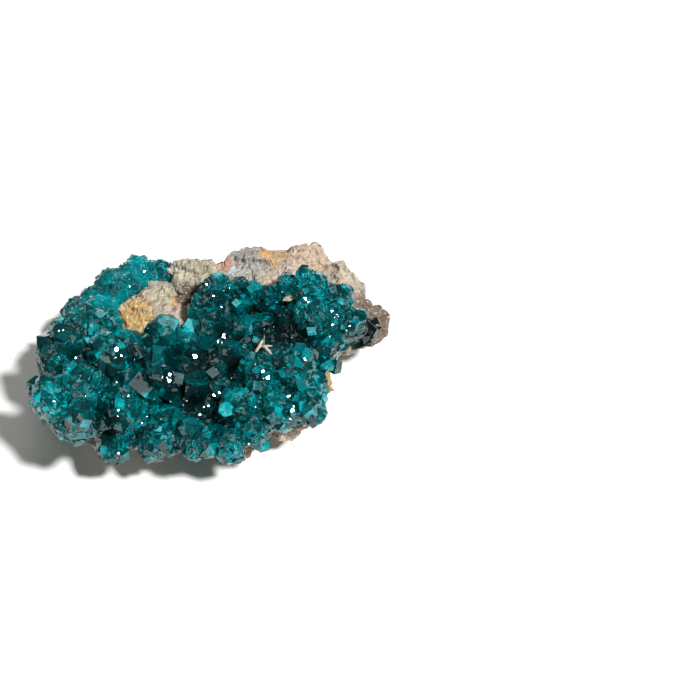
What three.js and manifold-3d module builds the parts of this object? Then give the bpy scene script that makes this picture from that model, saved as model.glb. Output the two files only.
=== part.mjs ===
// A hand specimen of dioptase: a druse of emerald-teal crystals grown over a broken lump of host rock.
// Millimetres, +Z up. The origin is on the surface that the rock rests on, under the middle of the specimen.
// +X is the specimen's right and -Y the side that its crystals face.
import * as THREE from "three";
import { ConvexGeometry } from "three/addons/geometries/ConvexGeometry.js";
import { mergeVertices } from "three/addons/utils/BufferGeometryUtils.js";
import Module from "manifold-3d";

const wasm = await Module();
wasm.setup();

// Seeded random numbers from 0 to 1, the same on each run.
function randomNumbers(seed) {
  let state = seed;
  return () => {
    state = (state + 0x6d2b79f5) | 0;
    let mixed = Math.imul(state ^ (state >>> 15), 1 | state);
    mixed = (mixed + Math.imul(mixed ^ (mixed >>> 7), 61 | mixed)) ^ mixed;
    return ((mixed ^ (mixed >>> 14)) >>> 0) / 4294967296;
  };
}

// Evenly spread directions, by the golden angle.
function directions(count) {
  const goldenAngle = Math.PI * (3 - Math.sqrt(5));
  return Array.from({ length: count }, (_, i) => {
    const z = 1 - (2 * i + 1) / count;
    const ring = Math.sqrt(1 - z * z);
    return new THREE.Vector3(ring * Math.cos(goldenAngle * i), ring * Math.sin(goldenAngle * i), z);
  });
}

function toSolid(geometry) {
  geometry.deleteAttribute("normal");
  geometry.deleteAttribute("uv");
  const merged = mergeVertices(geometry, 1e-4);
  const vertProperties = Float32Array.from(merged.attributes.position.array);
  const triVerts = Uint32Array.from(merged.index.array);
  return new wasm.Manifold(new wasm.Mesh({ numProp: 3, vertProperties, triVerts }));
}

function toGeometry(solid) {
  const { numProp, numVert, vertProperties, triVerts } = solid.getMesh();
  const position = new Float32Array(numVert * 3);
  for (let i = 0; i < numVert; i++) {
    position.set(vertProperties.subarray(i * numProp, i * numProp + 3), i * 3);
  }
  const geometry = new THREE.BufferGeometry();
  geometry.setAttribute("position", new THREE.BufferAttribute(position, 3));
  geometry.setIndex(new THREE.BufferAttribute(triVerts, 1));
  return geometry;
}

function join(solids) {
  while (solids.length > 1) {
    const pairs = [];
    for (let i = 0; i < solids.length; i += 2) {
      pairs.push(i + 1 < solids.length ? solids[i].add(solids[i + 1]) : solids[i]);
    }
    solids = pairs;
  }
  return solids[0];
}

// The largest of the bodies that a cut leaves.
function largestBody(solid) {
  return solid.decompose().reduce((best, body) => (body.volume() > best.volume() ? body : best));
}

// Host rock: angular blocks and chips, each the convex hull of a rough ellipsoid.
const ROCK_ROUGHNESS = 0.2;
const BLOCK_CORNERS = 21;
const CHIP_CORNERS = 9;
const rockBlocks = [
  { part: "main slab", at: [-1, -1, 5], half: [15.5, 11.5, 4] },
  { part: "foot", at: [-1, 1, 2.5], half: [13, 9.5, 4] },
  { part: "back ridge", at: [6.5, 9.6, 7.5], half: [12.5, 6, 5] },
  { part: "peak", at: [10.8, 11.6, 8.5], half: [3.5, 3.4, 4] },
  { part: "right end", at: [15.2, 3.2, 6.8], half: [4.9, 6, 3.8] },
  { part: "right knob", at: [18, 2.4, 7], half: [3, 3.6, 3.2] },
  { part: "right shoulder", at: [14.6, 7.6, 7], half: [4, 4.6, 3.8] },
  { part: "left back", at: [-10.5, 4, 5.5], half: [7.5, 8, 4] },
  { part: "bare patch", at: [-7.4, 5.2, 7.6], half: [6.2, 5.6, 3.8] },
  { part: "beige shoulder", at: [-2.4, 9, 9], half: [4.2, 4.4, 4] },
  { part: "front left", at: [-10, -8.5, 4.8], half: [7.5, 6, 3.2] },
  { part: "front nub", at: [2.6, -12.2, 3.6], half: [2.4, 2.8, 2.6] },
  { part: "front right", at: [8, -7.8, 5], half: [5.4, 6, 3] },
];
const rockChips = [
  { part: "back left ledge", at: [-8, 11, 5], half: [4, 2.2, 2] },
  { part: "back middle ledge", at: [1, 13.2, 4.5], half: [4.5, 2.2, 2.4] },
  { part: "back right ledge", at: [12, 12.4, 5], half: [4.5, 2.4, 1.8] },
  { part: "top chip", at: [3.8, 11, 10.4], half: [4.4, 2.6, 2] },
  { part: "beige knob", at: [-4.8, 10.8, 10], half: [2.2, 2.2, 2] },
  { part: "top right chip", at: [14.5, 9.4, 10], half: [2.6, 1.8, 1.6] },
  { part: "right spur", at: [19, 4.6, 6], half: [1.8, 1.8, 2.2] },
  { part: "left ledge", at: [-16.4, 1, 4.6], half: [2.4, 3, 1.8] },
  { part: "front left ledge", at: [-13.4, -12, 4.4], half: [3, 2.4, 1.4] },
  { part: "right ledge", at: [12.2, -4.8, 4.8], half: [2.4, 2.6, 1.6] },
];

function block({ at, half }, corners, seed, grown = 0) {
  const random = randomNumbers(seed);
  const points = directions(corners).map((way) => {
    const reach = 1 - ROCK_ROUGHNESS * random();
    return new THREE.Vector3(
      at[0] + way.x * reach * (half[0] + grown),
      at[1] + way.y * reach * (half[1] + grown),
      at[2] + way.z * reach * (half[2] + grown),
    );
  });
  return toSolid(new ConvexGeometry(points));
}

// The half space under the surface that the specimen rests on, which leaves the rock a flat foot.
function underFloor() {
  const side = 100;
  return toSolid(new THREE.BoxGeometry(side, side, side).translate(0, 0, -side / 2));
}

function rock(grown = 0) {
  const blocks = rockBlocks.map((b, i) => block(b, BLOCK_CORNERS, 101 + i, grown));
  const chips = rockChips.map((b, i) => block(b, CHIP_CORNERS, 201 + i, grown));
  return join([...blocks, ...chips]).subtract(underFloor());
}

// Crystal crust: beds of grown-together crystal, then rounded lumps on them, each bristling with stubby
// crystals.
const ROCK_GAP = 0.25;
const crustBeds = [
  { part: "left body", at: [-13, -7.5, 9], half: [7.5, 9.5, 4] },
  { part: "upper left folds", at: [-14.4, 5, 6.6], half: [6, 8, 4] },
  { part: "front skirt", at: [-6, -12.4, 6.8], half: [8.5, 4.8, 2.8] },
  { part: "valley", at: [-2, -6, 7], half: [7, 9.4, 3.4] },
  { part: "pit", at: [6.4, -1.6, 8], half: [6, 6.4, 2.8] },
  { part: "upper middle", at: [0.2, 1.2, 9.4], half: [4.6, 4.5, 3.6] },
  { part: "upper right", at: [12.2, 0, 9.6], half: [6, 5.2, 4] },
  { part: "lower right", at: [7, -9, 8], half: [7, 6.5, 3.8] },
];

// Lumps as [x, y, z, radius]; a group's crystals have about its half width, and each lump that many of them.
const lumpGroups = [
  {
    part: "left body",
    halfWidth: 1.45,
    crystals: 3,
    lumps: [
      [-18.2, -12, 11.4, 3.4],
      [-18.6, -5, 11, 3.4],
      [-18.2, 0.2, 9.2, 3],
      [-14.6, -11.6, 13.2, 3.2],
      [-14.5, -1, 11.5, 3.2],
      [-11.5, -7, 12.4, 3.4],
      [-15.2, -15.6, 11.6, 3],
      [-10.8, -13.4, 11, 3.2],
      [-12, -15, 6.4, 2.6],
      [-7, -15.6, 7.6, 2.8],
    ],
  },
  {
    part: "valley",
    halfWidth: 1.35,
    crystals: 2,
    lumps: [
      [-3.5, -2, 9.6, 2.4],
      [-3.6, -9, 8.4, 3],
      [0.6, -4.5, 9, 2.6],
    ],
  },
  {
    part: "lower middle and its tip",
    halfWidth: 1.25,
    crystals: 3,
    lumps: [
      [-2.2, -16.4, 8, 2.8],
      [1.4, -16.8, 7.6, 2.6],
      [4.4, -15.2, 8.2, 2.4],
    ],
  },
  {
    part: "upper left folds",
    crystals: 0,
    lumps: [
      [-10.4, 11.6, 8.4, 3],
      [-13.6, 10.8, 7.6, 2.8],
      [-17.8, 7.6, 6, 2.8],
      [-7.4, 11.2, 8.8, 2.4],
      [-11.4, 8.2, 9.8, 2.2],
      [-14.6, 4.4, 9.2, 2.7],
      [-19.2, 3.4, 6, 2.8],
    ],
  },
  {
    part: "upper middle",
    halfWidth: 1.1,
    crystals: 3,
    lumps: [
      [-1.4, 2.6, 11.6, 2.2],
      [0, 3.8, 12.8, 2.3],
      [3, 3, 12.2, 2.2],
      [-0.6, -0.4, 10.8, 2.4],
    ],
  },
  {
    part: "upper right",
    halfWidth: 1.1,
    crystals: 3,
    lumps: [
      [6.2, 4, 10.9, 2.2],
      [9.4, 4.2, 12.2, 2.2],
      [11.8, 2.8, 13.2, 2.9],
      [14.6, 2, 12, 2.7],
      [16.2, -1.2, 10.6, 2.5],
      [11.5, -1.4, 12.2, 2.8],
      [13, -4.8, 10.2, 2.4],
      [17, 0.2, 8.4, 2.2],
    ],
  },
  {
    part: "lower right",
    halfWidth: 1.3,
    crystals: 3,
    lumps: [
      [9.6, -9, 12, 2.9],
      [5.5, -8.6, 10.8, 3],
      [10.4, -12.6, 9.4, 2.8],
      [7, -13.2, 9, 2.6],
      [3.2, -12.6, 9.2, 2.6],
    ],
  },
];
const lumps = lumpGroups.flatMap((group) => group.lumps.map((lump) => ({ ...group, lump })));

// The large single crystals: root, the way each points, half width and length, and turn about its own axis.
const largeCrystals = [
  { part: "valley rim", root: [-8.4, -7.4, 8.4], way: [0.5, -0.25, 0.83], size: [2.4, 6.4], turn: 0.4 },
  { part: "face above it", root: [-10, -3.4, 9.2], way: [-0.2, -0.1, 0.97], size: [1.8, 4.6], turn: 0.2 },
  { part: "under the patch", root: [-7, -0.9, 8.6], way: [0.1, -0.45, 0.89], size: [1.9, 4.4], turn: 0.9 },
  { part: "valley side", root: [-4.6, -6.6, 7.4], way: [0.35, -0.3, 0.89], size: [2, 4.8], turn: 0.6 },
  { part: "left edge", root: [-18.2, -10.4, 10.6], way: [-0.93, 0.1, 0.3], size: [1.2, 4.2], turn: 0.3 },
];

// A stubby six-sided prism under a point of three rhombs, as dioptase grows, standing on its root along +Z.
const CAP_SLOPE = 1.233;
function crystal(halfWidth, length) {
  const corners = [];
  for (let i = 0; i < 6; i++) {
    const turn = (i * Math.PI) / 3;
    const shoulder = length - CAP_SLOPE * halfWidth * (i % 2 ? 0.5 : 1);
    corners.push(new THREE.Vector3(halfWidth * Math.cos(turn), halfWidth * Math.sin(turn), 0));
    corners.push(new THREE.Vector3(halfWidth * Math.cos(turn), halfWidth * Math.sin(turn), shoulder));
  }
  corners.push(new THREE.Vector3(0, 0, length));
  return new ConvexGeometry(corners);
}

const UP = new THREE.Vector3(0, 0, 1);
function plant(root, way, halfWidth, length, turn) {
  const upright = crystal(halfWidth, length).rotateZ(turn);
  upright.applyQuaternion(new THREE.Quaternion().setFromUnitVectors(UP, way));
  return toSolid(upright.translate(root.x, root.y, root.z));
}

function insideEllipsoid(point, { at, half }) {
  const away = point.clone().sub(new THREE.Vector3(...at));
  return away.divide(new THREE.Vector3(...half)).length() < 0.9;
}

// A crystal whose point would be buried in the rock or in another lump isn't made.
function buried(point, own) {
  const inRock = rockBlocks.some((b) => insideEllipsoid(point, b));
  return inRock || lumps.some(({ lump: [x, y, z, radius] }, index) => {
    return index !== own && Math.hypot(point.x - x, point.y - y, point.z - z) < radius;
  });
}

const LOWEST_LEAN = -0.45;
const ROOT_DEPTH = 0.5;
function lumpCrystals({ lump: [x, y, z, radius], halfWidth, crystals }, index) {
  const random = randomNumbers(701 + index);
  const middle = new THREE.Vector3(x, y, z);
  const solids = [];
  for (const way of directions(crystals * 3)) {
    const lean = new THREE.Vector3(random() - 0.5, random() - 0.5, random() - 0.5);
    way.addScaledVector(lean, 0.5).normalize();
    const size = halfWidth * (0.75 + 0.5 * random());
    const reach = radius + 0.6 * size * random();
    const turn = Math.PI * random();
    const hidden = way.z < LOWEST_LEAN || buried(middle.clone().addScaledVector(way, reach), index);
    if (hidden || solids.length === crystals) continue;
    const depth = ROOT_DEPTH * radius;
    solids.push(plant(middle.clone().addScaledVector(way, depth), way, size, reach - depth, turn));
  }
  return solids;
}

const LUMP_CORE = 0.3;
function lumpBall({ part, lump: [x, y, z, radius] }) {
  const detail = part === "upper left folds" ? 1 : 0;
  return toSolid(new THREE.IcosahedronGeometry(radius - LUMP_CORE, detail).translate(x, y, z));
}

function crust() {
  const beds = crustBeds.map((b, i) => block(b, BLOCK_CORNERS, 151 + i));
  const large = largeCrystals.map(({ root, way, size, turn }) => {
    return plant(new THREE.Vector3(...root), new THREE.Vector3(...way).normalize(), ...size, turn);
  });
  const small = lumps.flatMap(lumpCrystals);
  return largestBody(join([...beds, ...lumps.map(lumpBall), ...large, ...small]).subtract(rock(ROCK_GAP)));
}

// A piece of the specimen: its solid in its own colour.
function piece(name, solid, finish) {
  const mesh = new THREE.Mesh(toGeometry(solid), new THREE.MeshStandardMaterial({ ...finish, metalness: 0 }));
  mesh.name = name;
  return mesh;
}

const group = new THREE.Group();
group.add(piece("host_rock", rock(), { color: 0xa89a86, roughness: 0.9 }));
group.add(piece("dioptase_crust", crust(), { color: 0x0a7f80, roughness: 0.1 }));

// The origin goes under the middle of the specimen.
const extent = new THREE.Box3().setFromObject(group);
group.position.set(-(extent.min.x + extent.max.x) / 2, -(extent.min.y + extent.max.y) / 2, -extent.min.z);

export default group;
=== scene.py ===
import itertools
import math

import bpy
import numpy as np
from mathutils import Matrix, Quaternion, Vector, noise
from mathutils.bvhtree import BVHTree


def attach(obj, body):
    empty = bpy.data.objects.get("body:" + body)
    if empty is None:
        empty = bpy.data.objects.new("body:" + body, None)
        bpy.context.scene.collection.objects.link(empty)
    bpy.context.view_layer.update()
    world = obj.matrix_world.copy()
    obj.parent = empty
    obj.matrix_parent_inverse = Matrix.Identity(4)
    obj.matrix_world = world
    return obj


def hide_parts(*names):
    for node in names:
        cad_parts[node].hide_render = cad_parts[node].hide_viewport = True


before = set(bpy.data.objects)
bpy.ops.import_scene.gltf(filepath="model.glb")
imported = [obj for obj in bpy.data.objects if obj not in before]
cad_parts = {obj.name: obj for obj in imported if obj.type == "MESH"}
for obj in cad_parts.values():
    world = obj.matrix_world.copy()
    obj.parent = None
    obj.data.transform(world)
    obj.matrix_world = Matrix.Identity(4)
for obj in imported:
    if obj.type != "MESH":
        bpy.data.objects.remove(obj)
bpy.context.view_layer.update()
scene = bpy.context.scene

# The view: the specimen lies on a white surface and is seen from the front and above, about 0.2 m away,
# at 46 degrees, through a long lens, with the camera turned slightly about its own axis.
MM = 0.001
CAMERA_PLACE = Vector((16.729, -142.067, 155.549)) * MM
CAMERA_TILT = math.radians(43.8)
CAMERA_ROLL = math.radians(-2.448)
CAMERA_LENS = 86.7
SENSOR_WIDTH = 36
NEAREST_SEEN = 10 * MM
LIGHT_BOUNCES = 16
REFLECTIONS = 8
GLARE_LIMIT = 8


def put(name, data):
    """A new object in the scene."""
    thing = bpy.data.objects.new(name, data)
    scene.collection.objects.link(thing)
    return thing


camera = put("camera", bpy.data.cameras.new("camera"))
camera.data.lens = CAMERA_LENS
camera.data.sensor_width = SENSOR_WIDTH
camera.data.clip_start = NEAREST_SEEN
tilted = Matrix.Rotation(CAMERA_TILT, 4, "X") @ Matrix.Rotation(CAMERA_ROLL, 4, "Z")
camera.matrix_world = Matrix.Translation(CAMERA_PLACE) @ tilted
scene.camera = camera
scene.view_settings.view_transform = "Standard"
scene.cycles.use_denoising = True
scene.cycles.max_bounces = LIGHT_BOUNCES
scene.cycles.transmission_bounces = LIGHT_BOUNCES
scene.cycles.glossy_bounces = REFLECTIONS
scene.cycles.sample_clamp_indirect = GLARE_LIMIT

# The surface it lies on: plain matt white paper, wide enough to fill the view. The specimen rests on it
# with its foot, and nothing holds it.
FLOOR_HALF = 2.0
PAPER_COLOUR = (0.87, 0.86, 0.84, 1)
PAPER_ROUGHNESS = 0.9
PAPER_SHINE = 0.2


def mesh_of(name, corners, faces):
    """A mesh of these corners and faces."""
    mesh = bpy.data.meshes.new(name)
    mesh.from_pydata(corners, [], faces)
    return mesh


floor_sides = [(-1, -1), (1, -1), (1, 1), (-1, 1)]
floor_corners = [(x * FLOOR_HALF, y * FLOOR_HALF, 0) for x, y in floor_sides]
floor = put("floor", mesh_of("floor", floor_corners, [(0, 1, 2, 3)]))
paper = bpy.data.materials.new("paper")
paper.use_nodes = True
shader = paper.node_tree.nodes["Principled BSDF"]
shader.inputs["Base Color"].default_value = PAPER_COLOUR
shader.inputs["Roughness"].default_value = PAPER_ROUGHNESS
shader.inputs["Specular IOR Level"].default_value = PAPER_SHINE
floor.data.materials.append(paper)

# Light: a small key lamp high at the right front, and soft panels in a dim room, which the crystal faces
# pick up as a grey sheen. Each panel has its place and its size in metres, and its strength in watts.
KEY_AZIMUTH = math.radians(50)
KEY_HEIGHT = math.radians(52)
KEY_ANGLE = math.radians(7)
KEY_STRENGTH = 5.0
PANELS = [
    ("behind", (0.05, 0.42, 0.46), (0.34, 0.20), 0.34),
    ("left", (-0.5, -0.12, 0.32), (0.30, 0.30), 0.27),
    ("high", (0.12, 0.08, 0.62), (0.32, 0.32), 0.44),
    ("front right", (0.35, -0.45, 0.3), (0.08, 0.08), 0.06),
]
ROOM_COLOUR = (1.0, 1.0, 0.86, 1)
ROOM_STRENGTH = 0.08


def shine_from(lamp, side):
    """Turns a lamp so that it shines from this side onto the specimen."""
    lamp.rotation_euler = Vector(side).to_track_quat("Z", "Y").to_euler()


key = put("key", bpy.data.lights.new("key", "SUN"))
key.data.energy = KEY_STRENGTH
key.data.angle = KEY_ANGLE
toward_key = Vector((math.sin(KEY_AZIMUTH), -math.cos(KEY_AZIMUTH), math.tan(KEY_HEIGHT)))
shine_from(key, toward_key.normalized())

for name, place, size, strength in PANELS:
    panel = put(name, bpy.data.lights.new(name, "AREA"))
    panel.data.shape = "RECTANGLE"
    panel.data.size, panel.data.size_y = size
    panel.data.energy = strength
    panel.location = place
    shine_from(panel, place)

room = bpy.data.worlds.new("room")
room.use_nodes = True
background = room.node_tree.nodes["Background"]
background.inputs["Color"].default_value = ROOM_COLOUR
background.inputs["Strength"].default_value = ROOM_STRENGTH
scene.world = room

# Host rock: the broken matrix, a fine-grained pale rock with rusty, pink and grey stains. Its form is the
# model's, with steps, cracks and grain broken into the skin of a fine copy of it.
ROCK_SEED = 2
ROCK_VOXEL = 0.25 * MM
ROCK_SMOOTHING = 1
FOOT_HEIGHT = 0.4 * MM
LOWEST = 0.1 * MM

# Sizes and depths of the broken blocks and of the small chips, the depth of the grain, and how far the skin
# swells as a whole, in millimetres.
BLOCK_SIZE = 2.4
BLOCK_DEPTH = 0.6
CHIP_SIZE = 0.6
CHIP_DEPTH = 0.16
GRAIN_DEPTH = 0.12
SWELL = 0.04

# The grain's noise: how many grains a millimetre holds, how fast finer ones fade, how much finer each next
# layer is, and how many layers there are.
GRAIN_RATE = 1.8
GRAIN_FADE = 0.8
GRAIN_FINER = 2.1
GRAIN_LAYERS = 4

# The form of a block, against its own size and depth: how far its edges wander, how its height and slope
# change from one block to the next, and how wide and deep the cracks between blocks are.
WARP = 0.35
WARP_RATE = 1.7
STEP_RATE = 3.7
STEP_START = Vector((5, 1, 8))
SLOPE = 1.1
SLOPE_RATE = 2.9
CRACK_WIDTH = 0.10
CRACK_FALL = 2.0


def settle(piece):
    """Applies a piece's modifiers."""
    graph = bpy.context.evaluated_depsgraph_get()
    mesh = bpy.data.meshes.new_from_object(piece.evaluated_get(graph), depsgraph=graph)
    piece.modifiers.clear()
    piece.data = mesh


def copy_of(solid, name, voxel, smoothing):
    """A copy of a CAD solid, remeshed with small even faces and smoothed."""
    piece = put(name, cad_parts[solid].data.copy())
    remesh = piece.modifiers.new("remesh", "REMESH")
    remesh.mode = "VOXEL"
    remesh.voxel_size = voxel
    smooth = piece.modifiers.new("smooth", "SMOOTH")
    smooth.iterations = smoothing
    settle(piece)
    return piece


def broken(point, size, depth):
    """The steps, slopes and cracks of blocks of about this size, in millimetres."""
    p = point / size
    p += WARP * noise.noise_vector(p * WARP_RATE)
    distances, centres = noise.voronoi(p)
    step = noise.noise(centres[0] * STEP_RATE + STEP_START)
    slope = (p - centres[0]).dot(noise.noise_vector(centres[0] * SLOPE_RATE))
    crack = max(0, CRACK_WIDTH - (distances[1] - distances[0]))
    return depth * (step + SLOPE * slope - CRACK_FALL * crack)


def craggy(point):
    """How far a point of the rock's skin stands out, in millimetres."""
    p = point / MM
    blocks = broken(p, BLOCK_SIZE, BLOCK_DEPTH)
    chips = broken(p, CHIP_SIZE, CHIP_DEPTH)
    grain = noise.fractal(p * GRAIN_RATE, GRAIN_FADE, GRAIN_FINER, GRAIN_LAYERS)
    return blocks + chips + GRAIN_DEPTH * grain + SWELL


noise.seed_set(ROCK_SEED)
host_rock = copy_of("host_rock", "matrix", ROCK_VOXEL, ROCK_SMOOTHING)
skin = [(vertex.co.copy(), vertex.normal.copy()) for vertex in host_rock.data.vertices]
for vertex, (place, way) in zip(host_rock.data.vertices, skin):
    if place.z > FOOT_HEIGHT:
        vertex.co = place + way * craggy(place) * MM
        vertex.co.z = max(vertex.co.z, LOWEST)

# The rock's two ground colours, and its stains with two patches of painted shade: each one's centre and
# radius in millimetres, and its colour. The groove and the right rim are darker than their brown as painted
# shade. A stain covers this share of its radius in full, and its edge wanders by up to half its raggedness.
ROCK_GREY = (0.34, 0.30, 0.23)
ROCK_PINK = (0.48, 0.38, 0.30)
ROCK_STAINS_AND_PAINTED_SHADE = [
    ("grey of the top", (4.1, 12.2, 11.3), 4.6, (0.34, 0.33, 0.30)),
    ("beige shoulder", (-1, 10, 12), 3.6, (0.42, 0.38, 0.26)),
    ("beige knob", (-3.8, 11.6, 11.2), 2.2, (0.46, 0.44, 0.32)),
    ("pink at the top left", (0.9, 13.4, 10.7), 2.2, (0.48, 0.25, 0.19)),
    ("pale blue flecks", (2.5, 11.6, 10.7), 0.9, (0.42, 0.50, 0.56)),
    ("rust at the top", (7.6, 13.3, 12.2), 2.4, (0.52, 0.28, 0.10)),
    ("pink of the peak", (12.6, 13.0, 11.8), 3.8, (0.50, 0.37, 0.27)),
    ("tan of the right top", (16.6, 11, 11), 3.4, (0.42, 0.35, 0.26)),
    # The right rim is brown, and its colour is darkened further as a painted cast shadow.
    ("brown right rim in painted cast shadow", (21, 5.4, 7.6), 6.0, (0.13, 0.085, 0.06)),
    ("rust of the bare patch", (-9.9, 5.2, 9.9), 3.4, (0.50, 0.31, 0.09)),
    ("grey of the bare patch", (-6, 7.6, 10.5), 2.6, (0.42, 0.39, 0.28)),
    ("rust at the patch's right", (-4.8, 7.2, 10.2), 1.2, (0.48, 0.27, 0.08)),
    # The groove is brown, and its colour is darkened further as painted shade in its crease.
    ("brown groove in painted shade", (-2.9, 7.5, 9.9), 2.2, (0.07, 0.045, 0.025)),
    ("amber nub", (4.8, -12.5, 4.4), 3.4, (0.40, 0.20, 0.04)),
    ("tan ledges", (-11, -11, 4.4), 4.6, (0.40, 0.30, 0.20)),
    ("ochre right ledge", (13.6, -3.8, 5), 3.4, (0.38, 0.26, 0.11)),
    ("cream blades", (6.4, -1.9, 10.9), 2.0, (0.62, 0.58, 0.50)),
    ("tan sliver", (9.9, 4.6, 12.4), 1.8, (0.46, 0.34, 0.24)),
]
STAIN_AND_SHADE_CORE = 0.55
RAGGEDNESS = 5 * MM

# Fine patterns over the stains: the size, detail and seed of each one's noise, the levels between which it
# sets in, its strength and its colour.
PATTERNS = [
    ("pale specks", (0.45, 4, 0.3), (0.58, 0.66), 0.65, (0.66, 0.65, 0.60)),
    ("dirt", (0.8, 5, 0.7), (0.52, 0.66), 0.7, (0.10, 0.07, 0.05)),
    ("grit", (0.35, 6, 0.9), (0.35, 0.65), 0.35, (0.16, 0.13, 0.11)),
]
GRIT_STRENGTH = 0.8
GRIT_HEIGHT = 0.12 * MM
ROCK_ROUGHNESS = 0.62

# The sockets of a Mix node that mixes colours.
MIX_FACTOR = 0
MIX_FIRST = 6
MIX_SECOND = 7
MIX_RESULT = 2


class Value:
    """A socket that takes part in Python expressions."""

    def __init__(self, tree, socket):
        self.tree = tree
        self.socket = socket

    def math(self, operation, *values):
        return node(self.tree, "ShaderNodeMath", {"operation": operation}, values)

    def __add__(self, other):
        return self.math("ADD", self, other)

    def __radd__(self, other):
        return self.math("ADD", other, self)

    def __sub__(self, other):
        return self.math("SUBTRACT", self, other)

    def __rsub__(self, other):
        return self.math("SUBTRACT", other, self)

    def __mul__(self, other):
        return self.math("MULTIPLY", self, other)

    def __rmul__(self, other):
        return self.math("MULTIPLY", other, self)


def feed(tree, socket, value):
    """Sets a socket to a number or a colour, or links a value or a list of values to it."""
    if isinstance(value, list):
        for part in value:
            feed(tree, socket, part)
    elif isinstance(value, Value):
        tree.links.new(value.socket, socket)
    elif socket.type == "RGBA":
        socket.default_value = (*value, 1)
    else:
        socket.default_value = value


def node(tree, kind, settings, values, output=0):
    """A new node's output, once its settings and then its sockets are set, by place or by name."""
    made = tree.nodes.new(kind)
    for name, setting in settings.items():
        setattr(made, name, setting)
    pairs = values.items() if isinstance(values, dict) else enumerate(values)
    for name, value in pairs:
        feed(tree, made.inputs[name], value)
    return Value(tree, made.outputs[output])


def blend(factor, first, second):
    """A mix of two colours."""
    values = {MIX_FACTOR: factor, MIX_FIRST: first, MIX_SECOND: second}
    return node(factor.tree, "ShaderNodeMix", {"data_type": "RGBA"}, values, MIX_RESULT)


def vectors(operation, first, second):
    """Vector Math on a value and a second value or vector."""
    output = "Value" if operation == "DISTANCE" else "Vector"
    return node(first.tree, "ShaderNodeVectorMath", {"operation": operation}, [first, second], output)


def cloud(place, size, detail, seed, output="Fac"):
    """A noise pattern with features of about this size in millimetres."""
    moved = vectors("ADD", place, (seed, seed, seed))
    values = {"Vector": moved, "Scale": 1 / (size * MM), "Detail": detail}
    return node(place.tree, "ShaderNodeTexNoise", {}, values, output)


def between(value, low, high):
    """0 under the low value, 1 over the high one, and smooth between."""
    settings = {"interpolation_type": "SMOOTHSTEP"}
    values = {"Value": value, "From Min": low, "From Max": high}
    return node(value.tree, "ShaderNodeMapRange", settings, values)


def around(place, centre, radius, core):
    """1 within this share of a radius in millimetres, 0 beyond the radius, and smooth between."""
    away = vectors("DISTANCE", place, Vector(centre) * MM)
    return 1 - between(away, core * radius * MM, radius * MM)


def shaken(start, pattern, reach):
    """A vector moved by a pattern's colour, by up to half this reach each way."""
    shift = vectors("SUBTRACT", pattern, (0.5, 0.5, 0.5))
    return vectors("ADD", start, vectors("MULTIPLY", shift, (reach, reach, reach)))


def shade(tree, looks):
    """Sets or links the sockets of a material's shader."""
    for name, value in looks.items():
        feed(tree, tree.nodes["Principled BSDF"].inputs[name], value)


rock_finish = bpy.data.materials.new("host rock")
rock_finish.use_nodes = True
tree = rock_finish.node_tree
place = node(tree, "ShaderNodeTexCoord", {}, {}, "Object")
ragged = shaken(place, cloud(place, size=1.6, detail=4, seed=0, output="Color"), RAGGEDNESS)
pink = between(cloud(place, size=3, detail=3, seed=0.1), low=0.4, high=0.6)
colour = blend(pink, ROCK_GREY, ROCK_PINK)
# The stains, with the painted shade of the groove and the right rim, go over the ground colours.
for _, centre, radius, stain_and_shade_colour in ROCK_STAINS_AND_PAINTED_SHADE:
    colour = blend(around(ragged, centre, radius, STAIN_AND_SHADE_CORE), colour, stain_and_shade_colour)
for _, kind, levels, strength, tint in PATTERNS:
    pattern = cloud(place, *kind)
    colour = blend(between(pattern, *levels) * strength, colour, tint)

# The last pattern, the grit, also roughens the surface.
values = {"Strength": GRIT_STRENGTH, "Distance": GRIT_HEIGHT, "Height": pattern}
grit = node(tree, "ShaderNodeBump", {}, values, "Normal")
shade(tree, {"Base Color": colour, "Normal": grit, "Roughness": ROCK_ROUGHNESS})

host_rock.data.materials.clear()
host_rock.data.materials.append(rock_finish)
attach(host_rock, "root")
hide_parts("host_rock")

# Pale blades: four small cream blades that stand crossed beside the pit of the crust, and a tan sliver on
# its dome. Each is a thin plate with six corners, thickest in the middle, in a stain of the rock's material.
# Given are the middle of each in millimetres, the way its length points, and half its length and width.
BLADES = [
    ("cream blade", (6.0, -1.9, 10.9), (0.5, 0.8, 0.3), 1.3, 0.22),
    ("cream blade", (6.7, -2.0, 10.8), (0.9, -0.3, 0.3), 1.0, 0.20),
    ("cream blade", (6.5, -1.5, 11.1), (0.1, 0.5, 0.9), 1.0, 0.18),
    ("cream blade", (6.9, -2.5, 10.7), (-0.6, 0.7, 0.3), 0.9, 0.16),
    ("tan sliver", (9.9, 4.4, 12.5), (0.95, 0.3, 0.1), 1.2, 0.50),
]
BLADE_RIM = [(1, 0), (0.3, 1), (-0.6, 0.8), (-1, -0.1), (-0.4, -1), (0.5, -0.8)]
BLADE_THICKNESS = 0.4

blade_corners = []
blade_faces = []
for _, middle, way, half_length, half_width in BLADES:
    turn = Vector((1, 0, 0)).rotation_difference(Vector(way))
    first = len(blade_corners)
    rim = [(x * half_length, y * half_width, 0) for x, y in BLADE_RIM]
    sides = [(0, 0, side * BLADE_THICKNESS * half_width) for side in (-1, 1)]
    blade_corners += [(Vector(middle) + turn @ Vector(corner)) * MM for corner in rim + sides]
    lower = first + len(rim)
    for i in range(len(rim)):
        a, b = first + i, first + (i + 1) % len(rim)
        blade_faces.append((a, b, lower + 1))
        blade_faces.append((b, a, lower))
blades = put("pale_blades", mesh_of("pale_blades", blade_corners, blade_faces))
blades.data.materials.append(rock_finish)
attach(blades, "root")

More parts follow.
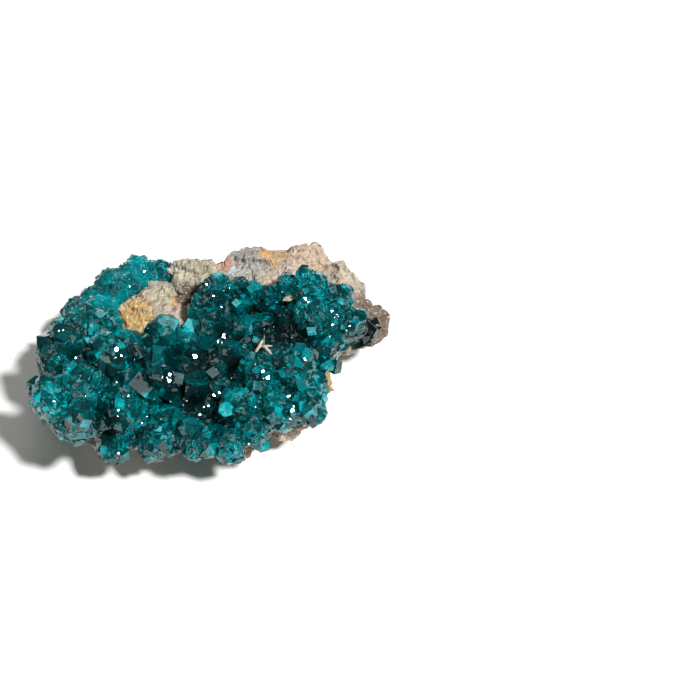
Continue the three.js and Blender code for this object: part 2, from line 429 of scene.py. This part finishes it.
# Dioptase crust: stubby six-sided crystals under points of three rhombs, grown together over rounded lumps.
# Thousands of them are planted on a smoothed copy of the model's crust and joined into one clear solid,
# with thin cracks inside.
CRUST_VOXEL = 0.4 * MM
CRUST_SMOOTHING = 3
CRUST_SHRINK = 0.05 * MM

# The slope of a crystal's point and the depth of its stem, against its half width.
CAP_SLOPE = 1.233
STEM = 1.8

# The parts of the crust: the middle and the reach of each, and the usual half width of its crystals, all in
# millimetres.
GROWTH = [
    ("back fold", (-9.7, 13.9, 8.4), 4.0, 0.34),
    ("middle fold", (-13.5, 11, 8.5), 5.0, 0.36),
    ("left fold", (-17.5, 7.5, 7), 4.6, 0.40),
    ("left body", (-15, -4, 12), 6.5, 0.62),
    ("lower left", (-13, -12.5, 9), 5.5, 0.56),
    ("valley", (-3, -4.5, 9), 6.0, 0.85),
    ("upper middle", (1.5, 5.5, 12.5), 4.2, 0.52),
    ("pit", (6, 1, 9), 2.6, 0.70),
    ("upper right dome", (11, 4, 13), 6.0, 0.42),
    ("right flank", (18, 2, 9), 4.0, 0.50),
    ("lower right", (9, -8, 11), 6.5, 0.58),
    ("tip", (1, -14, 8), 5.0, 0.52),
    ("front skirt", (-6, -14.5, 7), 4.0, 0.46),
]

# How the crystals differ: their sizes against the usual one and the share of each, and how much they vary,
# lean and stand out.
SIZES = [1.6, 1.1, 0.75, 0.5]
SIZE_SHARES = [0.12, 0.3, 0.38, 0.2]
VARIATION = (0.85, 1.15)
LEAN = 0.34
STANDS = (0.05, 0.5)

# How many are tried, how close they stand, and the least size and free way out that one needs.
CRYSTAL_SEED = 11
TRIES = 60000
SPACING = 0.46
CELL = 1.5 * MM
SMALLEST = 0.25 * MM
WAY_OUT = 1.2 * MM
UNDER_SKIN = 0.05 * MM

# Large crystals that catch the light: the middle of each one's bright face in millimetres, the way that the
# face looks, the half width and the turn about that way.
SHEEN = (0.17, -0.30, 0.94)
GLINT = (0.27, -0.557, 0.785)
LEFT_GLINT = (0.326, -0.531, 0.782)
LIP_GLINT = (0.306, -0.572, 0.761)
LARGE_CRYSTALS = [
    ("valley rim", (-7.5, -8.2, 11.9), SHEEN, 2.2, 0.3),
    ("above it", (-8.7, -5.0, 13.6), SHEEN, 1.5, 1.4),
    ("under the patch", (-5.0, 1.2, 11.8), SHEEN, 1.7, 2.2),
    ("beside it", (-2.4, 1.4, 11.4), SHEEN, 1.2, 0.4),
    ("valley side", (-3.6, -7.2, 11.4), SHEEN, 1.2, 0.8),
    ("valley floor", (0.4, -5.4, 10.2), SHEEN, 1.0, 1.7),
    ("left edge", (-20.6, -8.2, 11.8), (-0.5, -0.3, 0.8), 0.8, 0.5),
    ("left top", (-17.4, -2.4, 14.6), SHEEN, 0.9, 1.9),
    ("front left", (-11.6, -13.8, 11.6), SHEEN, 0.8, 0.9),
    ("upper middle", (3.3, 2.6, 13.7), SHEEN, 0.7, 0.2),
    ("dome", (12.3, -2.4, 13.4), SHEEN, 0.9, 1.1),
    ("right flank", (18.9, 1.4, 9.2), (0.45, -0.6, 0.66), 1.8, 0.6),
    ("right flank's foot", (17.8, 0.8, 7.9), (0.4, -0.7, 0.6), 1.3, 1.6),
    ("right flank's edge", (19.9, 2.4, 9.0), (0.6, -0.5, 0.62), 1.3, 0.2),
    ("right flank's corner", (18.8, 1.2, 7.6), (0.6, -0.5, 0.62), 1.0, 1.2),
    ("large glint", (6.9, -9.0, 13.2), GLINT, 0.85, 1.0),
    ("its neighbour", (8.7, -8.5, 13.0), GLINT, 0.6, 0.1),
    ("middle glint", (1.0, -8.8, 10.0), GLINT, 0.65, 2.0),
    ("lower left glint", (-16.3, -15.4, 12.6), LEFT_GLINT, 0.6, 0.7),
    ("lip glint", (-11.1, 10.4, 8.6), LIP_GLINT, 0.4, 1.5),
    ("second lip glint", (-10.1, 11.0, 9.0), LIP_GLINT, 0.45, 0.2),
    ("third lip glint", (-9.0, 12.0, 9.4), LIP_GLINT, 0.35, 0.9),
    ("right glint", (13.6, -7.2, 12.4), GLINT, 0.45, 0.4),
    ("upper glint", (11.6, 1.8, 14.6), GLINT, 0.4, 1.4),
]

# The cracks inside: how many, their radius against the crystals' half width, and how deep they lie under the
# crust, by their own radius and in millimetres. A crack is a thin lens with a rim of four corners.
CRACKS = 1500
CRACK_SIZES = (0.35, 1.0)
CRACK_COVER = 0.75
CRACK_DEPTHS = (0, 0.9)
CRACK_THINNESS = 0.03
CRACK_RIM = (0, 1.4, 2.9, 4.5)

rng = np.random.default_rng(CRYSTAL_SEED)
crystals = []
taken = {}


def crystal_corners():
    """A crystal of half width 1 along +Z, with its point at the origin.

    Corners of the base and of the shoulder take turns, and every second shoulder is half as deep.
    """
    corners = []
    for i in range(6):
        turn = i * math.pi / 3
        corners.append((math.cos(turn), math.sin(turn), -STEM))
        corners.append((math.cos(turn), math.sin(turn), -CAP_SLOPE * (0.5 if i % 2 else 1)))
    return [*corners, (0, 0, 0)]


def crystal_faces():
    """Its base, its six sides and the three rhombs of its point."""
    faces = [(10, 8, 6, 4, 2, 0)]
    for i in range(6):
        a, b = 2 * i, 2 * ((i + 1) % 6)
        faces.append((a, b, b + 1, a + 1))
    for i in (0, 2, 4):
        faces.append((12, 2 * ((i - 1) % 6) + 1, 2 * i + 1, 2 * ((i + 1) % 6) + 1))
    return faces


def crack_corners():
    """A thin flat lens of radius 1."""
    rim = [(math.cos(turn), math.sin(turn), 0) for turn in CRACK_RIM]
    return [*rim, (0, 0, CRACK_THINNESS), (0, 0, -CRACK_THINNESS)]


def crack_faces():
    """Its upper and its lower side."""
    count = len(CRACK_RIM)
    edges = [(i, (i + 1) % count) for i in range(count)]
    return [(a, b, count) for a, b in edges] + [(b, a, count + 1) for a, b in edges]


def grain_at(place):
    """The usual half width of the crystals at a place, in millimetres."""

    def remoteness(part):
        _, middle, reach, _ = part
        return (place / MM - Vector(middle)).length / reach

    return min(GROWTH, key=remoteness)[-1]


def skin_of(mesh):
    """A mesh's skin, to cast rays at."""
    corners = [vertex.co for vertex in mesh.vertices]
    return BVHTree.FromPolygons(corners, [tuple(face.vertices) for face in mesh.polygons])


def scattered(mesh, count):
    """Random places on a mesh and the way out at each."""
    mesh.calc_loop_triangles()
    corners = np.array([vertex.co for vertex in mesh.vertices])
    normals = np.array([vertex.normal for vertex in mesh.vertices])
    triangles = np.array([triangle.vertices for triangle in mesh.loop_triangles])
    a, b, c = (corners[triangles[:, i]] for i in range(3))
    area = np.linalg.norm(np.cross(b - a, c - a), axis=1)
    pick = rng.choice(len(triangles), count, p=area / area.sum())
    u, v = rng.random((2, count, 1))
    u, v = np.where(u + v > 1, 1 - u, u), np.where(u + v > 1, 1 - v, v)
    places = a[pick] + u * (b - a)[pick] + v * (c - a)[pick]
    ways = normals[triangles[pick]].mean(axis=1)
    ways /= np.linalg.norm(ways, axis=1, keepdims=True)
    return [Vector(p) for p in places], [Vector(w) for w in ways]


def cell_of(place):
    """The cell of a coarse grid that a place is in."""
    return tuple(math.floor(part / CELL) for part in place)


def crowded(place, size):
    """Whether a crystal of this half width would stand too close to one that is already planted."""
    x, y, z = cell_of(place)
    for i, j, k in itertools.product((-1, 0, 1), repeat=3):
        for other, width in taken.get((x + i, y + j, z + k), ()):
            if (place - other).length < SPACING * (size + width):
                return True
    return False


core = copy_of("dioptase_crust", "core", CRUST_VOXEL, CRUST_SMOOTHING)
shrink = core.modifiers.new("shrink", "DISPLACE")
shrink.mid_level = 0
shrink.strength = -CRUST_SHRINK
settle(core)
core_skin = skin_of(core.data)
rock_skin = skin_of(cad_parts["host_rock"].data)

# The crystals are planted from the largest to the smallest, each with a place, a turn and a half width.
places, ways = scattered(core.data, TRIES)
growths = rng.choice(SIZES, TRIES, p=SIZE_SHARES) * rng.uniform(*VARIATION, TRIES)
leans = rng.normal(0, LEAN, (TRIES, 3))
turns = rng.uniform(0, 2 * math.pi, TRIES)
stands = rng.uniform(*STANDS, TRIES)
up = Vector((0, 0, 1))
for i in np.argsort(-growths):
    place, way = places[i], ways[i]
    depth = core_skin.ray_cast(place - way * UNDER_SKIN, -way)[3] or 0
    size = min(grain_at(place) * growths[i] * MM, depth / STEM)
    if size < SMALLEST:
        continue
    if crowded(place, size) or rock_skin.ray_cast(place, way, WAY_OUT)[0] is not None:
        continue
    taken.setdefault(cell_of(place), []).append((place, size))
    axis = (way + Vector(leans[i])).normalized()
    turn = up.rotation_difference(axis) @ Quaternion(up, turns[i])
    crystals.append((place + way * stands[i] * size, turn, size))

# The bright face of a large crystal is one of its three rhombs.
face_way = Vector((CAP_SLOPE, 0, 1)).normalized()
face_middle = Vector((0.5, 0, -0.5 * CAP_SLOPE))
for _, middle, way, size, spin in LARGE_CRYSTALS:
    facing = Vector(way).normalized()
    turn = Quaternion(facing, spin) @ face_way.rotation_difference(facing)
    crystals.append((Vector(middle) * MM - turn @ (face_middle * size * MM), turn, size * MM))

places, ways = scattered(core.data, CRACKS)
cracks = []
for place, way in zip(places, ways):
    size = rng.uniform(*CRACK_SIZES) * grain_at(place) * MM
    turn = Quaternion(rng.normal(0, 1, 4)).normalized()
    depth = size * CRACK_COVER + rng.uniform(*CRACK_DEPTHS) * MM
    cracks.append((place - way * depth, turn, size))


def sown(name, items):
    """An object of points that hold a place, a turn and a size each."""
    mesh = mesh_of(name, [place for place, _, _ in items], [])
    turned = mesh.attributes.new("turn", "QUATERNION", "POINT")
    turned.data.foreach_set("value", [part for _, turn, _ in items for part in turn])
    sized = mesh.attributes.new("size", "FLOAT", "POINT")
    sized.data.foreach_set("value", [size for _, _, size in items])
    return bpy.data.objects.new(name, mesh)


def shape_of(tree, thing):
    """The shape of another object."""
    return node(tree, "GeometryNodeObjectInfo", {}, {"Object": thing}, "Geometry")


def held(tree, kind, name):
    """What each point holds under this name."""
    settings = {"data_type": kind}
    return node(tree, "GeometryNodeInputNamedAttribute", settings, {"Name": name}, "Attribute")


def joined_or_cut(tree, operation, shapes):
    """The union of shapes, or the difference of two."""
    settings = {"operation": operation, "solver": "MANIFOLD"}
    return node(tree, "GeometryNodeMeshBoolean", settings, shapes)


def planted(tree, points, shape):
    """The shape at each of the points, all joined in one."""
    values = {
        "Points": shape_of(tree, points),
        "Instance": shape_of(tree, shape),
        "Rotation": held(tree, "QUATERNION", "turn"),
        "Scale": held(tree, "FLOAT", "size"),
    }
    copies = node(tree, "GeometryNodeInstanceOnPoints", {}, values)
    return joined_or_cut(tree, "UNION", {"Mesh 2": copies})


crystal = bpy.data.objects.new("crystal", mesh_of("crystal", crystal_corners(), crystal_faces()))
crack = bpy.data.objects.new("crack", mesh_of("crack", crack_corners(), crack_faces()))
grown = bpy.data.node_groups.new("grow together", "GeometryNodeTree")
grown.interface.new_socket("Geometry", in_out="OUTPUT", socket_type="NodeSocketGeometry")
bristle = planted(grown, sown("crystals", crystals), crystal)
flaws = planted(grown, sown("cracks", cracks), crack)
whole = joined_or_cut(grown, "UNION", {"Mesh 2": [bristle, shape_of(grown, core)]})
flawed = joined_or_cut(grown, "DIFFERENCE", {"Mesh 1": whole, "Mesh 2": flaws})
feed(grown, grown.nodes.new("NodeGroupOutput").inputs[0], flawed)
druse = put("dioptase", bpy.data.meshes.new("dioptase"))
druse.modifiers.new("grow together", "NODES").node_group = grown
settle(druse)
bpy.data.objects.remove(core)

# Painted light and shade on the crust: the valley, the pit and the hollows are made darker as painted shade,
# the right flank as a painted cast shadow, and the lit lobes, folds and dome brighter as painted light.
# Given are the middle and the radius of each in millimetres, and the share by which it is brighter or
# darker. The change is full within this share of the radius.
PAINTED_CRUST_LIGHT_AND_SHADE = [
    # Darker as painted shade, in the valley, the pit, the hollows and under the dome.
    ("valley", (-2, -5.6, 10.6), 6.6, -0.82),
    ("valley's upper end", (2, -1.2, 10.6), 4.6, -0.6),
    ("left of the valley", (-10.6, -7.8, 12.7), 3.4, -0.55),
    ("left body's hollow", (-15.5, -4.3, 12.2), 2.2, -0.4),
    ("upper middle", (0.7, 2.2, 12.7), 3.4, -0.5),
    ("pit", (8.2, 1.0, 10.6), 4.0, -0.9),
    ("under the dome", (10.6, -1.6, 11), 3.0, -0.6),
    # The right flank is darker as a painted cast shadow.
    ("right flank", (19.4, 1.0, 8.6), 4.6, -0.98),
    ("lower middle", (-0.8, -10, 9.2), 3.4, -0.8),
    ("lower left hollow", (-11.4, -14, 11), 3.4, -0.8),
    # Brighter as painted light, where light falls on the lobes, the folds and the dome.
    ("lower right lobe", (10, -8.6, 11), 6.4, 0.4),
    ("its left end", (4.4, -9.4, 10.8), 2.6, 0.8),
    ("lower left lobe", (-17, -11.4, 12.8), 3.6, 1.3),
    ("left body's top", (-15.8, -0.6, 12.4), 3.4, 1.0),
    ("middle folds", (-14.4, 6, 11), 5.0, 1.8),
    ("back fold", (-9.5, 12.2, 10), 5.0, 1.5),
    ("beside the patch", (-4.0, 0.4, 11.8), 3.2, 1.6),
    ("dome", (11, 3.6, 13.6), 4.4, 2.4),
    ("upper right", (15.6, 2, 13), 3.4, 0.2),
    # Painted dark under three large faces, so that their reflection of the high panel shows as a grey sheen.
    ("face at the valley's rim", (-7.5, -8.2, 11.9), 2.2, -0.9),
    ("face above it", (-8.7, -5.0, 13.6), 1.8, -0.9),
    ("face under the patch", (-5.0, 1.2, 11.8), 1.4, -0.8),
]
PAINTED_LIGHT_CORE = 0.4

# The clouding inside the crystals, and its strength.
CLOUDING = 0.6
CLOUDING_LOSS = 0.02

# Painted light inside the crystals: each crystal face is bright or dark as a whole, by the way it looks, as
# painted internal reflection, but less so on the smooth folds at the upper left.
FACE_STEP = (0.06, 0.06, 0.06)
FACE_CONTRAST = 2.6
FACE_LEAST = 0.15
FOLDS = (-13.5, 10.5, 8)
FOLDS_REACH = 8.5
FOLDS_CORE = 0.6
FOLDS_EVENNESS = 0.6
USUAL_EVENNESS = 0.15
EVEN_LIGHT = 0.7

# Painted light inside the crystals: bright seams run through them in places, and there are bright flecks.
SEAM_SPACING = 1.1 * MM
SEAM_WIDTH = 0.05
SEAM_LIGHT = 2.0
SEAM_LEAST = 0.02

# Fine splinters tilt the light, so that a face isn't one mirror.
SPLINTER_SIZE = 0.35 * MM
SPLINTER_TILT = 0.22

# The crystal's colours from dark to bright, and how it reflects, bends and absorbs light.
DARKEST = (0.0, 0.012, 0.014)
BRIGHTEST = (0.0, 0.92, 1.0)
CRYSTAL_LOOKS = {"Roughness": 0.0, "IOR": 1.66, "Transmission Weight": 0.7}
ABSORPTION = {"Color": (0.0, 0.78, 0.79), "Density": 700}

crystal_finish = bpy.data.materials.new("dioptase")
crystal_finish.use_nodes = True
tree = crystal_finish.node_tree
place = node(tree, "ShaderNodeTexCoord", {}, {}, "Object")
brightness = cloud(place, size=2.4, detail=3, seed=0.2) * CLOUDING - CLOUDING_LOSS
# The painted light and shade brighten and darken the clouding.
for _, centre, radius, change in PAINTED_CRUST_LIGHT_AND_SHADE:
    brightness = brightness * (around(place, centre, radius, PAINTED_LIGHT_CORE) * change + 1)

surface = node(tree, "ShaderNodeNewGeometry", {}, {}, "True Normal")
face = node(tree, "ShaderNodeTexWhiteNoise", {}, {"Vector": vectors("SNAP", surface, FACE_STEP)})
facets = face * face * face * FACE_CONTRAST + FACE_LEAST
evenness = around(place, FOLDS, FOLDS_REACH, FOLDS_CORE) * FOLDS_EVENNESS + USUAL_EVENNESS
brightness = brightness * (evenness * EVEN_LIGHT + (1 - evenness) * facets)

values = {"Vector": place, "Scale": 1 / SEAM_SPACING}
seams = node(tree, "ShaderNodeTexVoronoi", {"feature": "DISTANCE_TO_EDGE"}, values)
broken_seams = between(cloud(place, size=1.3, detail=2, seed=0.8), low=0.5, high=0.6)
seams = (1 - between(seams, 0.0, SEAM_WIDTH)) * broken_seams
brightness = brightness + seams * (brightness + SEAM_LEAST) * SEAM_LIGHT
flecks = between(cloud(place, size=0.9, detail=4, seed=0.5), low=0.56, high=0.64)
brightness = brightness.math("MAXIMUM", brightness + flecks * brightness, 0.0)
# The crystals' colour between the darkest and the brightest carries the clouding and the painted light and
# shade.
tint = blend(brightness, DARKEST, BRIGHTEST)

values = {"Vector": place, "Scale": 1 / SPLINTER_SIZE}
splinters = node(tree, "ShaderNodeTexVoronoi", {}, values, "Color")
splintered = shaken(surface, splinters, SPLINTER_TILT)
shade(tree, {"Base Color": tint, "Normal": splintered, **CRYSTAL_LOOKS})
inside = node(tree, "ShaderNodeVolumeAbsorption", {}, ABSORPTION)
feed(tree, tree.nodes["Material Output"].inputs["Volume"], inside)

druse.data.materials.clear()
druse.data.materials.append(crystal_finish)
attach(druse, "root")
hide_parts("dioptase_crust")
